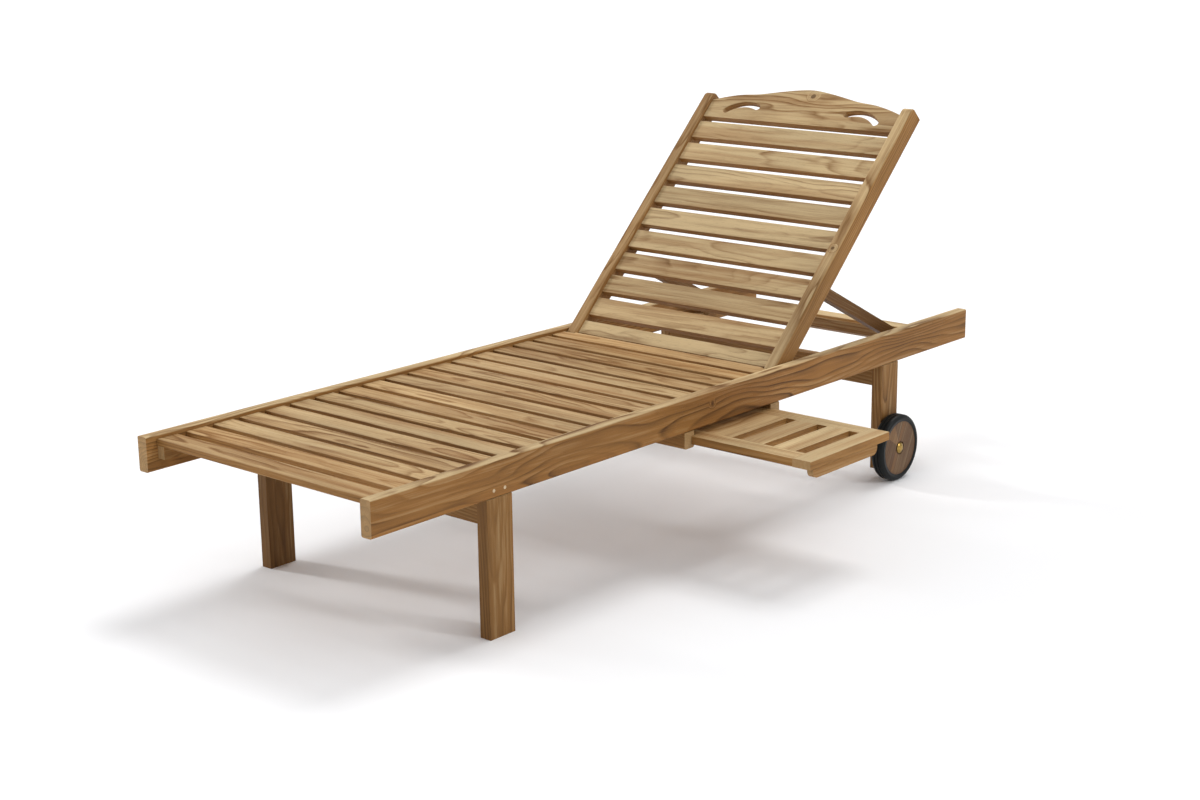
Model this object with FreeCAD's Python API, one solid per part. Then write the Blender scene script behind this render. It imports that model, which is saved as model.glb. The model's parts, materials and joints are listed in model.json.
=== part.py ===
"""Reclining teak sun lounger with a slide-out tray and two wheels.

Working frame while modelling, in millimetres: X across with the tray on the +X
side, Y from the foot end to the head end, Z up from the ground, and X = 0 on the
centre line between the side rails.  save() moves every piece so that the origin
of the finished part lies on the ground, under the middle of the whole lounger as
it stands with the tray out and the back raised.
"""
import FreeCAD
import Part
import math
import os

from FreeCAD import Vector

os.makedirs("parts", exist_ok=True)

# ---------------------------------------------------------------- driving sizes
RAIL_LENGTH = 2000.0        # side rails, foot end to head end
FRAME_WIDTH = 674.0         # across the outer faces of the side rails
RAIL_THICK = 27.0
RAIL_HEIGHT = 73.0
RAIL_TOP = 354.0            # height of the rails' top edges above the ground
RAIL_ROUND = 4.0

SLAT_THICK = 14.0
SLAT_WIDTH = 51.9
SLAT_ROUND = 2.0
SLAT_RECESS = 8.0           # slat tops below the rail tops, and below the stile fronts
SLAT_END_GAP = 1.0          # each end of a seat slat to the rail beside it

SEAT_SLATS = 18
SEAT_PITCH = 68.0
SEAT_START = 30.0           # foot end of the rails to the first slat in the even pitch
FIRST_SLAT_SHIFT = 5.0      # the first slat itself sits this much nearer the foot end
LEDGER_WIDTH = 20.0
LEDGER_HEIGHT = 26.0
LEDGER_START = 27.0

LEG_THICK = 28.0
LEG_DEPTH = 69.0
FRONT_LEG_Y = 293.0         # foot-end face of the front legs
REAR_LEG_Y = 1628.0
REAR_LEG_GAP = 27.0         # rear legs end this far above the ground
LEG_ROUND = 1.5
TENON_THICK = 12.0
TENON_DEPTH = 45.0
TENON_HEIGHT = 40.0
TENON_GAP = 0.15            # tenon to mortise, each side
PEG_RADIUS = 3.5
PEG_HEIGHT = 15.0           # peg centres above the rail's bottom edge
PEG_SPACING = 30.0
PEG_LENGTH = 24.0
PEG_GAP = 0.05

CROSS_HEIGHT = 51.0
CROSS_THICK = 26.0
CROSS_SETBACK = 1.0         # behind the legs' foot-end faces
HEAD_SLAT_Y = 1908.0
HEAD_SLAT_WIDTH = 44.0
HEAD_SLAT_THICK = 20.0
HEAD_SLAT_GAP = 0.5         # under the flat back's stiles

GUIDE_WIDTH = 32.0
GUIDE_HEIGHT = 36.0
GUIDE_ROUND = 5.0
GROOVE_DEPTH = 8.5
TRAY_GAP = 0.4              # tray to groove, each face
TRAY_Y = 909.0              # foot-end edge of the tray
TRAY_WIDTH = 286.0          # along the lounger
TRAY_LENGTH = 520.0         # across the lounger
TRAY_THICK = 18.0
TRAY_OUT = 304.0            # tray's outer edge beyond the side rail
TRAY_SIDE = 46.0
TRAY_END = 45.0
TRAY_SLAT = 56.0
TRAY_SLOT = 25.0
TRAY_ROUND = 1.5
TRAY_UNDER_RAIL = 11.0      # tray top below the side rail
LIP_THICK = 15.0
LIP_HEIGHT = 20.0
LIP_INSET = 10.0
LIP_LENGTH = 231.0
LIP_ROUND = 15.0

PIVOT_Y = 1254.0            # back's hinge axis
BACK_ANGLE = 44.2           # raised from flat, degrees
STILE_DEPTH = 47.5
STILE_THICK = 29.2
STILE_LENGTH = 755.0        # hinge axis to the top end
STILE_ROUND = 5.0
STILE_TOP_ROUND = 14.0
STILE_SIDE_GAP = 1.2        # stile to side rail
BACK_SLAT_THICK = 17.5
BACK_TENON = 10.0           # length of the tenon at each end of a back slat
TENON_SHOULDER = 4.0        # tenon set in from all four faces of its slat
BACK_SLATS = 10
BACK_PITCH = 69.3
BACK_TOP_SLAT = 664.7       # hinge axis to the top edge of the uppermost slat
BACK_SLAT_START = 4.0       # lowest edge of the lowest, cut-down slat
CROWN_START = 680.0
CROWN_SHOULDER = 733.0      # crown's height where it meets the stiles
CROWN_PEAK = 787.0
CROWN_CREST = [(1.0, 0.0), (0.81, 0.315), (0.67, 0.456), (0.545, 0.52), (0.43, 0.637),
               (0.29, 0.795), (0.14, 0.933), (0.0, 1.0)]    # shares of half width and of rise
HOLD_X = 164.4              # crest of each crescent hand-hold
HOLD_TOP = 727.7            # middle line of the crescent at its crest
HOLD_BEND = 84.5            # radius of that middle line
HOLD_SWEEP_IN = 21.1        # angle from the crest to the inner end, degrees
HOLD_SWEEP_OUT = 43.0       # and to the outer end
HOLD_WIDTH = 16.0
HOLD_ROUND = 2.5
SWING_GAP = 2.0             # round the stiles' lower ends

PIN_RADIUS = 6.0
PIN_GAP = 0.05
PIN_IN_STILE = 24.0
PIN_IN_RAIL = 14.0
PIN_END_GAP = 0.3

PROP_S = 249.0              # hinge axis to the prop's own hinge, along the back
PROP_N = -16.0              # and square to it
PROP_ANGLE = 27.2           # strut below level, degrees
PROP_LENGTH = 387.0         # prop hinge to the prop rod
STRUT_HEIGHT = 27.0
STRUT_THICK = 22.0
STRUT_GAP = 2.0             # strut to stile
STRUT_PIN_IN_STILE = 14.0
STRUT_ROUND = 2.0
HINGE_PIN_RADIUS = 5.0
CROSSBAR_SIZE = 25.0
ROD_RADIUS = 6.0
ROD_END_GAP = 4.0           # prop rod to side rail

RATCHET_START = 1690.0
RATCHET_THICK = 26.0
RATCHET_TOP = 303.0
RATCHET_LOW = 290.0         # floor of the last notch, where the rod lies when flat
RATCHET_DROP_Y = 1858.0
RATCHET_LOW_Y = 1872.0
NOTCHES = 4
NOTCH_FIRST_Y = 1705.0
NOTCH_PITCH = 41.5
NOTCH_DEPTH = 8.0

WHEEL_RADIUS = 80.0
WHEEL_WIDTH = 32.0
WHEEL_TO_LEG = 4.0
TYRE_ROUND = 8.0
HUB_RADIUS = 64.5
HUB_INSET = 1.0             # hub face behind the tyre's side
HUB_BOSS_RADIUS = 22.0
HUB_BOSS_GAP = 0.6
AXLE_Y = 1660.0
AXLE_RADIUS = 6.0
AXLE_GAP = 0.05
CAP_RADIUS = 13.0
CAP_RIM = 3.0
CAP_DOME = 4.5
CAP_SEAT = 3.0              # depth of the round recess for the cap
CAP_SEAT_RADIUS = 16.0
CAP_GAP = 0.5
CAP_HOLD = 2.0              # axle's length inside the cap

# ---------------------------------------------------------------- derived sizes
OUTER_X = FRAME_WIDTH / 2
RAIL_IN_X = OUTER_X - RAIL_THICK
RAIL_BOTTOM = RAIL_TOP - RAIL_HEIGHT
SEAT_TOP = RAIL_TOP - SLAT_RECESS
SLAT_BOTTOM = SEAT_TOP - SLAT_THICK
SEAT_END = SEAT_START + (SEAT_SLATS - 1) * SEAT_PITCH + SLAT_WIDTH
LEG_IN_X = OUTER_X - LEG_THICK

TRAY_TOP = RAIL_BOTTOM - TRAY_UNDER_RAIL
TRAY_BOTTOM = TRAY_TOP - TRAY_THICK
TRAY_END_Y = TRAY_Y + TRAY_WIDTH
TRAY_OUT_X = OUTER_X + TRAY_OUT
TRAY_IN_X = TRAY_OUT_X - TRAY_LENGTH

HALF_DEPTH = STILE_DEPTH / 2
PIVOT_Z = RAIL_TOP - HALF_DEPTH
STILE_OUT_X = RAIL_IN_X - STILE_SIDE_GAP
STILE_IN_X = STILE_OUT_X - STILE_THICK
BACK_SLAT_TOP = HALF_DEPTH - SLAT_RECESS
BACK_SLAT_BOTTOM = BACK_SLAT_TOP - BACK_SLAT_THICK
BACK_TENON_X = STILE_IN_X + BACK_TENON
SWING_Y = PIVOT_Y - HALF_DEPTH - SWING_GAP

STRUT_OUT_X = STILE_IN_X - STRUT_GAP
STRUT_IN_X = STRUT_OUT_X - STRUT_THICK
ROD_END_X = RAIL_IN_X - ROD_END_GAP

WHEEL_IN_X = OUTER_X + WHEEL_TO_LEG
WHEEL_OUT_X = WHEEL_IN_X + WHEEL_WIDTH
HUB_OUT_X = WHEEL_OUT_X - HUB_INSET
CAP_X = HUB_OUT_X - CAP_SEAT + CAP_GAP
CAP_END_X = CAP_X + CAP_RIM + CAP_DOME
AXLE_END_X = CAP_X + CAP_HOLD

LEFT_END_X = -max(CAP_END_X, WHEEL_OUT_X)
MIDDLE = Vector((LEFT_END_X + TRAY_OUT_X) / 2, RAIL_LENGTH / 2, 0)

X_AXIS = Vector(1, 0, 0)
Y_AXIS = Vector(0, 1, 0)
Z_AXIS = Vector(0, 0, 1)


# ---------------------------------------------------------------- small helpers
def block(x_range, y_range, z_range):
    """A box between pairs of coordinates."""
    size = [high - low for low, high in (x_range, y_range, z_range)]
    return Part.makeBox(*size, Vector(x_range[0], y_range[0], z_range[0]))


def edges_along(shape, axis, keep=None):
    """Straight edges parallel to an axis, and passing the keep test."""
    found = []
    for edge in shape.Edges:
        if edge.Curve.TypeId != "Part::GeomLine":
            continue
        if abs(edge.Curve.Direction.dot(axis)) < 0.9999:
            continue
        if keep is None or keep(edge.CenterOfMass):
            found.append(edge)
    return found


def eased(shape, axis, radius, keep=None):
    """The shape with its edges along an axis rounded."""
    return shape.makeFillet(radius, edges_along(shape, axis, keep))


def rod(radius, x_range, y, z):
    """A round bar along X."""
    start = Vector(x_range[0], y, z)
    return Part.makeCylinder(radius, x_range[1] - x_range[0], start, X_AXIS)


def plate(outline, x_range):
    """A flat piece cut to an outline of (y, z) points, lying in x_range."""
    points = [Vector(x_range[0], y, z) for y, z in outline]
    face = Part.Face(Part.makePolygon(points + points[:1]))
    return face.extrude(Vector(x_range[1] - x_range[0], 0, 0))


def mirrored(shape):
    """The same piece on the other side of the centre line."""
    return shape.mirror(Vector(0, 0, 0), X_AXIS)


def turned_back(shape):
    """A piece of the flat back, raised to its angle."""
    raised = shape.copy()
    raised.rotate(Vector(0, PIVOT_Y, PIVOT_Z), X_AXIS, BACK_ANGLE)
    return raised


def save(node, *solids):
    """Write one node from one solid or a group of separate solids."""
    moved = [solid.translated(-MIDDLE) for solid in solids]
    shape = moved[0] if len(moved) == 1 else Part.makeCompound(moved)
    shape.exportStep("parts/" + node + ".step")


def save_pair(node, right):
    """Write a right-hand piece and its mirror image as two nodes."""
    save(node + "_right", right)
    save(node + "_left", mirrored(right))


# ---------------------------------------------------------------- fixed frame
def tenon(leg_y, gap):
    """Tenon on top of a leg, or with a gap the mortise for it."""
    middle_x = OUTER_X - RAIL_THICK / 2
    middle_y = leg_y + LEG_DEPTH / 2
    half_x = TENON_THICK / 2 + gap
    half_y = TENON_DEPTH / 2 + gap
    return block((middle_x - half_x, middle_x + half_x),
                 (middle_y - half_y, middle_y + half_y),
                 (RAIL_BOTTOM - gap, RAIL_BOTTOM + TENON_HEIGHT))


def leg_pegs(radius):
    """The two wooden pegs through a front leg's tenon."""
    pegs = []
    for side in (-1, 1):
        y = FRONT_LEG_Y + LEG_DEPTH / 2 + side * PEG_SPACING / 2
        x_range = (OUTER_X - PEG_LENGTH, OUTER_X)
        pegs.append(rod(radius, x_range, y, RAIL_BOTTOM + PEG_HEIGHT))
    return pegs


def side_rail():
    rail = block((RAIL_IN_X, OUTER_X), (0, RAIL_LENGTH), (RAIL_BOTTOM, RAIL_TOP))
    rail = eased(rail, Y_AXIS, RAIL_ROUND)
    for leg_y in (FRONT_LEG_Y, REAR_LEG_Y):
        rail = rail.cut(tenon(leg_y, TENON_GAP))
    for hole in leg_pegs(PEG_RADIUS + PEG_GAP):
        rail = rail.cut(hole)
    depth = PIN_IN_RAIL + PIN_END_GAP
    pivot_hole = rod(PIN_RADIUS + PIN_GAP, (RAIL_IN_X - 1, RAIL_IN_X + depth), PIVOT_Y, PIVOT_Z)
    return rail.cut(pivot_hole)


def leg(leg_y, bottom):
    body = block((LEG_IN_X, OUTER_X), (leg_y, leg_y + LEG_DEPTH), (bottom, RAIL_BOTTOM))
    body = eased(body, Z_AXIS, LEG_ROUND)
    return body.fuse(tenon(leg_y, 0)).removeSplitter()


def front_leg():
    body = leg(FRONT_LEG_Y, 0)
    for hole in leg_pegs(PEG_RADIUS + PEG_GAP):
        body = body.cut(hole)
    return body


def rear_leg():
    bore = rod(AXLE_RADIUS + AXLE_GAP, (0, OUTER_X + 1), AXLE_Y, WHEEL_RADIUS)
    return leg(REAR_LEG_Y, REAR_LEG_GAP).cut(bore)


def cross_rail(leg_y):
    start = leg_y + CROSS_SETBACK
    return block((-LEG_IN_X, LEG_IN_X), (start, start + CROSS_THICK),
                 (RAIL_BOTTOM - CROSS_HEIGHT, RAIL_BOTTOM))


def seat_ledger():
    return block((RAIL_IN_X - LEDGER_WIDTH, RAIL_IN_X), (LEDGER_START, SWING_Y - SWING_GAP),
                 (SLAT_BOTTOM - LEDGER_HEIGHT, SLAT_BOTTOM))


def seat_slat(index):
    start = SEAT_START + index * SEAT_PITCH
    if index == 0:
        start -= FIRST_SLAT_SHIFT
    half = RAIL_IN_X - SLAT_END_GAP
    slat = block((-half, half), (start, start + SLAT_WIDTH), (SLAT_BOTTOM, SEAT_TOP))
    slat = eased(slat, X_AXIS, SLAT_ROUND)
    if start + SLAT_WIDTH > SWING_Y:
        notch = block((STILE_IN_X - SWING_GAP, RAIL_IN_X), (SWING_Y, SEAT_END + 1),
                      (SLAT_BOTTOM - 1, SEAT_TOP + 1))
        slat = slat.cut(notch).cut(mirrored(notch))
    return slat


def head_slat():
    top = RAIL_TOP - STILE_DEPTH - HEAD_SLAT_GAP
    slat = block((-RAIL_IN_X, RAIL_IN_X), (HEAD_SLAT_Y, HEAD_SLAT_Y + HEAD_SLAT_WIDTH),
                 (top - HEAD_SLAT_THICK, top))
    return eased(slat, X_AXIS, SLAT_ROUND)


def ratchet_rail():
    end = HEAD_SLAT_Y - 1
    outline = [(RATCHET_START, RAIL_BOTTOM), (RATCHET_START, RATCHET_TOP)]
    for index in range(NOTCHES):
        y = NOTCH_FIRST_Y + index * NOTCH_PITCH
        outline += [(y - ROD_RADIUS, RATCHET_TOP),
                    (y - ROD_RADIUS, RATCHET_TOP - NOTCH_DEPTH),
                    (y + ROD_RADIUS, RATCHET_TOP - NOTCH_DEPTH),
                    (y + ROD_RADIUS + NOTCH_DEPTH, RATCHET_TOP)]
    outline += [(RATCHET_DROP_Y, RATCHET_TOP), (RATCHET_LOW_Y, RATCHET_LOW),
                (end, RATCHET_LOW), (end, RAIL_BOTTOM)]
    rail = plate(outline, (RAIL_IN_X - RATCHET_THICK, RAIL_IN_X))
    leg_room = block((LEG_IN_X - 1, OUTER_X), (0, REAR_LEG_Y + LEG_DEPTH + 1), (0, RAIL_BOTTOM))
    return rail.cut(leg_room)


# ---------------------------------------------------------------- tray
def tray_guide(inner_y, direction):
    """Grooved bar under the rails; its groove opens towards the tray."""
    outer_y = inner_y - direction * GUIDE_WIDTH
    y_range = sorted((inner_y, outer_y))
    guide = block((-OUTER_X, OUTER_X), y_range, (RAIL_BOTTOM - GUIDE_HEIGHT, RAIL_BOTTOM))
    low = RAIL_BOTTOM - GUIDE_HEIGHT + 1
    guide = eased(guide, X_AXIS, GUIDE_ROUND, lambda p: p.z < low)
    groove_y = sorted((inner_y - direction * GROOVE_DEPTH, inner_y + direction))
    groove = block((-OUTER_X - 1, OUTER_X + 1), groove_y,
                   (TRAY_BOTTOM - TRAY_GAP, TRAY_TOP + TRAY_GAP))
    return guide.cut(groove)


def tray_sides():
    x_range = (TRAY_IN_X, TRAY_OUT_X - TRAY_END)
    near = block(x_range, (TRAY_Y, TRAY_Y + TRAY_SIDE), (TRAY_BOTTOM, TRAY_TOP))
    far = block(x_range, (TRAY_END_Y - TRAY_SIDE, TRAY_END_Y), (TRAY_BOTTOM, TRAY_TOP))
    near = eased(near, X_AXIS, TRAY_ROUND, lambda p: p.y < TRAY_Y + 1)
    far = eased(far, X_AXIS, TRAY_ROUND, lambda p: p.y > TRAY_END_Y - 1)
    return near, far


def tray_slats():
    """Outer board, two slats, the broad middle board, a slat and the inner board."""
    end = block((TRAY_OUT_X - TRAY_END, TRAY_OUT_X), (TRAY_Y, TRAY_END_Y), (TRAY_BOTTOM, TRAY_TOP))
    end = eased(end, Y_AXIS, TRAY_ROUND, lambda p: p.x > TRAY_OUT_X - 1)
    boards = [end]
    inner_y = (TRAY_Y + TRAY_SIDE, TRAY_END_Y - TRAY_SIDE)
    broad = 2 * TRAY_SLAT + TRAY_SLOT
    high = TRAY_OUT_X - TRAY_END - TRAY_SLOT
    for width in (TRAY_SLAT, TRAY_SLAT, broad, TRAY_SLAT):
        boards.append(block((high - width, high), inner_y, (TRAY_BOTTOM, TRAY_TOP)))
        high -= width + TRAY_SLOT
    boards.append(block((TRAY_IN_X, high), inner_y, (TRAY_BOTTOM, TRAY_TOP)))
    return boards


def tray_lip():
    start = TRAY_Y + LIP_INSET
    low = TRAY_BOTTOM - LIP_HEIGHT
    lip = block((TRAY_OUT_X - LIP_THICK, TRAY_OUT_X), (start, start + LIP_LENGTH), (low, TRAY_BOTTOM))
    return eased(lip, X_AXIS, LIP_ROUND, lambda p: p.z < low + 1)


# ---------------------------------------------------------------- back, laid flat
def along_back(s_range, x_range, n_range):
    """A box on the flat back: s along it from the hinge, n square to it."""
    y_range = [PIVOT_Y + s for s in s_range]
    z_range = [PIVOT_Z + n for n in n_range]
    return block(x_range, y_range, z_range)


def back_stile():
    x_range = (STILE_IN_X, STILE_OUT_X)
    stile = along_back((0, STILE_LENGTH), x_range, (-HALF_DEPTH, HALF_DEPTH))
    foot = rod(HALF_DEPTH, x_range, PIVOT_Y, PIVOT_Z)
    stile = stile.fuse(foot).removeSplitter()
    top_y = PIVOT_Y + STILE_LENGTH - 1
    stile = eased(stile, X_AXIS, STILE_TOP_ROUND, lambda p: p.y > top_y and p.z > PIVOT_Z)
    stile = eased(stile, Y_AXIS, STILE_ROUND, lambda p: p.z > PIVOT_Z)
    x_range = (STILE_OUT_X - PIN_IN_STILE, STILE_OUT_X + 1)
    stile = stile.cut(rod(PIN_RADIUS + PIN_GAP, x_range, PIVOT_Y, PIVOT_Z))
    x_range = (STILE_IN_X - 1, STILE_IN_X + STRUT_PIN_IN_STILE)
    stile = stile.cut(rod(HINGE_PIN_RADIUS + PIN_GAP, x_range, PIVOT_Y + PROP_S, PIVOT_Z + PROP_N))
    for number in range(BACK_SLATS):
        stile = stile.cut(back_slat(number))
    return stile.cut(back_crown())


def tenon_bar(bottom, top):
    """Bar that lies inside a board of the back and sticks out of both its ends."""
    return along_back((bottom + TENON_SHOULDER, top - TENON_SHOULDER), (-BACK_TENON_X, BACK_TENON_X),
                      (BACK_SLAT_BOTTOM + TENON_SHOULDER, BACK_SLAT_TOP - TENON_SHOULDER))


def back_slat(index):
    top = BACK_TOP_SLAT - index * BACK_PITCH
    bottom = max(top - SLAT_WIDTH, BACK_SLAT_START)
    slat = along_back((bottom, top), (-STILE_IN_X, STILE_IN_X), (BACK_SLAT_BOTTOM, BACK_SLAT_TOP))
    slat = eased(slat, X_AXIS, SLAT_ROUND)
    return slat.fuse(tenon_bar(bottom, top)).removeSplitter()


def crown_outline():
    """Closed wire of the crown board: straight below, an ogee hump above."""
    half = STILE_IN_X
    rise = CROWN_PEAK - CROWN_SHOULDER
    heights = CROWN_CREST + [(-x, y) for x, y in reversed(CROWN_CREST[:-1])]
    z = PIVOT_Z + BACK_SLAT_BOTTOM
    points = [Vector(half * x, PIVOT_Y + CROWN_SHOULDER + rise * y, z) for x, y in heights]
    curve = Part.BSplineCurve()
    curve.interpolate(points)
    low_right = Vector(half, PIVOT_Y + CROWN_START, z)
    low_left = Vector(-half, PIVOT_Y + CROWN_START, z)
    sides = [Part.makeLine(points[-1], low_left), Part.makeLine(low_left, low_right),
             Part.makeLine(low_right, points[0])]
    return Part.Wire([curve.toShape()] + sides)


def hand_hold():
    """Crescent cutter with round ends, on the right of the crown."""
    middle = Vector(HOLD_X, PIVOT_Y + HOLD_TOP - HOLD_BEND, PIVOT_Z + BACK_SLAT_BOTTOM - 1)
    first = -math.radians(HOLD_SWEEP_IN)
    last = math.radians(HOLD_SWEEP_OUT)
    mid = (first + last) / 2

    def at(radius, angle):
        return middle + Vector(radius * math.sin(angle), radius * math.cos(angle), 0)

    outer = HOLD_BEND + HOLD_WIDTH / 2
    inner = HOLD_BEND - HOLD_WIDTH / 2
    end = at(HOLD_BEND, last) + Vector(math.cos(last), -math.sin(last), 0) * (HOLD_WIDTH / 2)
    start = at(HOLD_BEND, first) - Vector(math.cos(first), -math.sin(first), 0) * (HOLD_WIDTH / 2)
    arcs = [Part.Arc(at(outer, first), at(outer, mid), at(outer, last)),
            Part.Arc(at(outer, last), end, at(inner, last)),
            Part.Arc(at(inner, last), at(inner, mid), at(inner, first)),
            Part.Arc(at(inner, first), start, at(outer, first))]
    wire = Part.Wire([arc.toShape() for arc in arcs])
    return Part.Face(wire).extrude(Vector(0, 0, BACK_SLAT_THICK + 2))


def back_crown():
    board = Part.Face(crown_outline()).extrude(Vector(0, 0, BACK_SLAT_THICK))
    board = board.fuse(tenon_bar(CROWN_START, CROWN_SHOULDER)).removeSplitter()
    hold = hand_hold()
    board = board.cut(hold).cut(mirrored(hold))
    rims = [edge for edge in board.Edges
            if edge.Curve.TypeId == "Part::GeomCircle"
            and edge.BoundBox.ZLength < 0.001]
    return board.makeFillet(HOLD_ROUND, rims)


def hinge_pins():
    """Blind pins of the back's hinge and the pins of the prop's hinge."""
    main = rod(PIN_RADIUS, (STILE_OUT_X - PIN_IN_STILE, RAIL_IN_X + PIN_IN_RAIL), PIVOT_Y, PIVOT_Z)
    small = rod(HINGE_PIN_RADIUS, (STRUT_IN_X, STILE_IN_X + STRUT_PIN_IN_STILE - PIN_END_GAP),
                PIVOT_Y + PROP_S, PIVOT_Z + PROP_N)
    return [main, mirrored(main), small, mirrored(small)]


# ---------------------------------------------------------------- prop
def prop_placed(shape):
    """A piece of the prop, modelled level from its hinge, put in its place."""
    angle = math.radians(BACK_ANGLE)
    y = PIVOT_Y + PROP_S * math.cos(angle) - PROP_N * math.sin(angle)
    z = PIVOT_Z + PROP_S * math.sin(angle) + PROP_N * math.cos(angle)
    placed = shape.copy()
    placed.rotate(Vector(0, 0, 0), X_AXIS, -PROP_ANGLE)
    placed.translate(Vector(0, y, z))
    return placed


def prop_strut():
    half = STRUT_HEIGHT / 2
    x_range = (STRUT_IN_X, STRUT_OUT_X)
    strut = block(x_range, (0, PROP_LENGTH), (-half, half))
    strut = strut.fuse([rod(half, x_range, 0, 0), rod(half, x_range, PROP_LENGTH, 0)])
    strut = strut.removeSplitter()
    x_range = (STRUT_IN_X - 1, STRUT_OUT_X + 1)
    strut = strut.cut(rod(HINGE_PIN_RADIUS + PIN_GAP, x_range, 0, 0))
    return strut.cut(rod(ROD_RADIUS + PIN_GAP, x_range, PROP_LENGTH, 0))


def prop_crossbar():
    half = CROSSBAR_SIZE / 2
    bar = block((-STRUT_IN_X, STRUT_IN_X), (PROP_LENGTH - half, PROP_LENGTH + half), (-half, half))
    bar = eased(bar, X_AXIS, STRUT_ROUND)
    return bar.cut(rod(ROD_RADIUS + PIN_GAP, (-OUTER_X, OUTER_X), PROP_LENGTH, 0))


# ---------------------------------------------------------------- wheels
def tyre():
    """Rubber ring with rounded shoulders, made by turning its section."""
    ring = rod(WHEEL_RADIUS, (WHEEL_IN_X, WHEEL_OUT_X), AXLE_Y, WHEEL_RADIUS)
    rims = [edge for edge in ring.Edges if edge.Curve.TypeId == "Part::GeomCircle"]
    ring = ring.makeFillet(TYRE_ROUND, rims)
    return ring.cut(rod(HUB_RADIUS, (WHEEL_IN_X - 1, WHEEL_OUT_X + 1), AXLE_Y, WHEEL_RADIUS))


def hub():
    disc = rod(HUB_RADIUS, (WHEEL_IN_X + HUB_INSET, HUB_OUT_X), AXLE_Y, WHEEL_RADIUS)
    boss = rod(HUB_BOSS_RADIUS, (OUTER_X + HUB_BOSS_GAP, HUB_OUT_X - 1), AXLE_Y, WHEEL_RADIUS)
    disc = disc.fuse(boss).removeSplitter()
    bore = rod(AXLE_RADIUS + AXLE_GAP, (OUTER_X, HUB_OUT_X + 1), AXLE_Y, WHEEL_RADIUS)
    recess = rod(CAP_SEAT_RADIUS, (HUB_OUT_X - CAP_SEAT, HUB_OUT_X + 1), AXLE_Y, WHEEL_RADIUS)
    return disc.cut(bore).cut(recess)


def axle_cap():
    """Domed cap pushed on the end of the axle."""
    rim = rod(CAP_RADIUS, (CAP_X, CAP_X + CAP_RIM), AXLE_Y, WHEEL_RADIUS)
    ball_radius = (CAP_RADIUS ** 2 + CAP_DOME ** 2) / (2 * CAP_DOME)
    centre = Vector(CAP_END_X - ball_radius, AXLE_Y, WHEEL_RADIUS)
    ball = Part.makeSphere(ball_radius, centre)
    reach = rod(CAP_RADIUS, (CAP_X + CAP_RIM, CAP_END_X + 1), AXLE_Y, WHEEL_RADIUS)
    cap = rim.fuse(ball.common(reach)).removeSplitter()
    bore = rod(AXLE_RADIUS + AXLE_GAP, (CAP_X - 1, AXLE_END_X), AXLE_Y, WHEEL_RADIUS)
    return cap.cut(bore)


# ---------------------------------------------------------------- write all nodes
save_pair("side_rail", side_rail())
save_pair("front_leg", front_leg())
save_pair("rear_leg", rear_leg())
pegs = leg_pegs(PEG_RADIUS)
save("leg_pegs", *pegs, *[mirrored(peg) for peg in pegs])
save("front_cross_rail", cross_rail(FRONT_LEG_Y))
save("rear_cross_rail", cross_rail(REAR_LEG_Y))
save("head_slat", head_slat())
save("seat_ledgers", seat_ledger(), mirrored(seat_ledger()))
for number in range(SEAT_SLATS):
    save("seat_slat_%02d" % (number + 1), seat_slat(number))
save("ratchet_rails", ratchet_rail(), mirrored(ratchet_rail()))

save("tray_guide_front", tray_guide(TRAY_Y + GROOVE_DEPTH - TRAY_GAP, 1))
save("tray_guide_rear", tray_guide(TRAY_END_Y - GROOVE_DEPTH + TRAY_GAP, -1))
save("tray_sides", *tray_sides())
save("tray_slats", *tray_slats())
save("tray_lip", tray_lip())

save_pair("back_stile", turned_back(back_stile()))
for number in range(BACK_SLATS):
    save("back_slat_%02d" % (number + 1), turned_back(back_slat(number)))
save("back_crown", turned_back(back_crown()))
save("hinge_pins", *[turned_back(pin) for pin in hinge_pins()])

save_pair("prop_strut", prop_placed(prop_strut()))
save("prop_crossbar", prop_placed(prop_crossbar()))
save("prop_rod", prop_placed(rod(ROD_RADIUS, (-ROD_END_X, ROD_END_X), PROP_LENGTH, 0)))

save_pair("tyre", tyre())
save_pair("wheel_hub", hub())
save("axle", rod(AXLE_RADIUS, (-AXLE_END_X, AXLE_END_X), AXLE_Y, WHEEL_RADIUS))
save("axle_caps", axle_cap(), mirrored(axle_cap()))
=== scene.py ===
import bmesh
import bpy
import json
import math
import random
from bpy.props import FloatProperty, FloatVectorProperty, PointerProperty
from mathutils import Euler, Matrix, Vector


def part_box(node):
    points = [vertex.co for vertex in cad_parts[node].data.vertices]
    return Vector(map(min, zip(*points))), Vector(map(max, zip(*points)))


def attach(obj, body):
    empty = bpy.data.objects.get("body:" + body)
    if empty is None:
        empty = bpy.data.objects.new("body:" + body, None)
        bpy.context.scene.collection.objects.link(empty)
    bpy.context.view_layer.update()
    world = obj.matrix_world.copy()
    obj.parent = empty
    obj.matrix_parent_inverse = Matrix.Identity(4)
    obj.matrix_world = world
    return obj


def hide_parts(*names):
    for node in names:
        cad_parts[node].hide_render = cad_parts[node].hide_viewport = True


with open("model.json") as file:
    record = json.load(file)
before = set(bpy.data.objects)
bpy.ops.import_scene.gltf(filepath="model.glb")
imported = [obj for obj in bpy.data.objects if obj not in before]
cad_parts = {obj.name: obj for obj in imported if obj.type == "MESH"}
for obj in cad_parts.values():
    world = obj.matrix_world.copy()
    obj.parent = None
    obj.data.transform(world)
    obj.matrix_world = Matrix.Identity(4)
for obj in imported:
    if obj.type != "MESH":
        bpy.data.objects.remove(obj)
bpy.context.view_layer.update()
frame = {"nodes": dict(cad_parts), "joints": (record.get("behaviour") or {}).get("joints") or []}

# Looks of a reclining teak sun lounger, laid out as a Blender add-on.
# Each operator finishes one group of pieces, and main() runs them in order.
# Sizes and places are in metres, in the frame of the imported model.

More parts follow.
